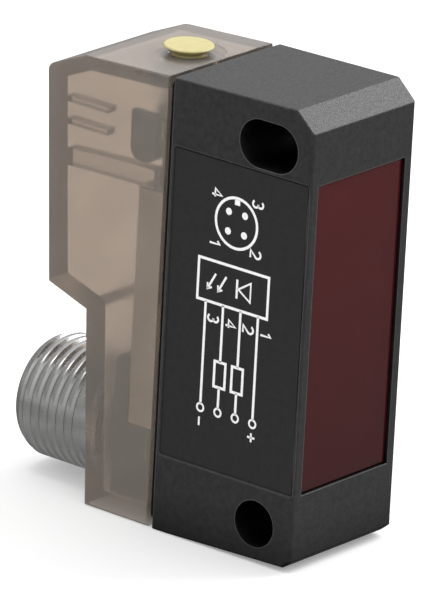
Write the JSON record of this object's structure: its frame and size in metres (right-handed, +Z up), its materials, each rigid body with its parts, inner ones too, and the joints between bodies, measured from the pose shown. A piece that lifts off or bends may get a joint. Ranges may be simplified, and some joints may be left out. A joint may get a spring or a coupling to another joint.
{
  "type": "photoelectric sensor",
  "caption": "Compact box-shaped photoelectric sensor with a red front window, a smoky translucent rear cover, a yellow push-button on top and a threaded metal plug at the back.",
  "frame": {"origin": "on the level of the bottom face, under the middle of the whole sensor's width and depth (plug included)", "axes": "+Z up, along the tall side; +Y from the front window to the plug; X across the narrow width, with the side panel on -X"},
  "size_m": [0.0148, 0.0346, 0.0435],
  "materials": {
    "black_plastic": "fine grained glass-filled plastic",
    "panel_black": "satin, smoother than the housing",
    "red_window": "polished deep red filter",
    "smoky_cover": "translucent smoky brown plastic, slightly frosted",
    "yellow_button": "pale yellow, satin",
    "nickel": "satin nickel plate on brass",
    "gold_contact": "gold flash",
    "insert_black": "moulded",
    "carrier_dark": "moulded, dark brown grey",
    "dark_rubber": "matte",
    "grey_rubber": "matte silicone",
    "board_pale": "pale solder mask",
    "rail_pale": "moulded, cream",
    "board_green": "green solder mask",
    "chip_black": "moulded package",
    "passive_tan": "ceramic",
    "tinned_steel": "tinned",
    "optics_black": "light-absorbing black",
    "lens_clear": "polished",
    "lamp_clear": "clear epoxy",
    "lamp_red": "red emitter under clear epoxy",
    "photodiode_dark": "dark epoxy",
    "wire_sheath": "thin wire insulation"
  },
  "bodies": {
    "sensor": {"housing": "black_plastic", "side_panel": "panel_black", "front_window": "red_window", "window_seal": "dark_rubber", "housing_gasket": "dark_rubber", "rear_cover": "smoky_cover", "connector_shell": "nickel", "connector_insert": "insert_black", "contact_pins": "gold_contact", "connector_o_ring": "dark_rubber", "connector_carrier": "carrier_dark", "lead_wires": "wire_sheath", "button_seal": "dark_rubber", "return_dome": "grey_rubber", "switch_body": "insert_black", "switch_board": "board_pale", "switch_link_pins": "gold_contact", "status_leds": "lamp_clear", "switch_carrier": "carrier_dark", "optics_holder": "optics_black", "emitter_lens": "lens_clear", "receiver_lens": "lens_clear", "emitter_led": "lamp_red", "receiver_photodiode": "photodiode_dark", "main_board": "board_green", "main_board_chips": "chip_black", "main_board_passives": "passive_tan", "amplifier_shield": "tinned_steel", "link_header_strip": "insert_black", "link_header_pins": "gold_contact", "rear_board": "board_pale", "rear_board_rails": "rail_pale", "rear_board_chips": "chip_black", "rear_board_passives": "passive_tan"},
    "button": {"teach_button": "yellow_button", "switch_plunger": "insert_black"}
  },
  "joints": [
    {"name": "teach_button_press", "type": "slide", "parent": "sensor", "child": "button", "axis": [0, 0, -1], "range_m": [0, 0.0003], "stiffness_N_per_m": 900, "springref_m": -0.0005, "deforming": ["return_dome"]}
  ]
}
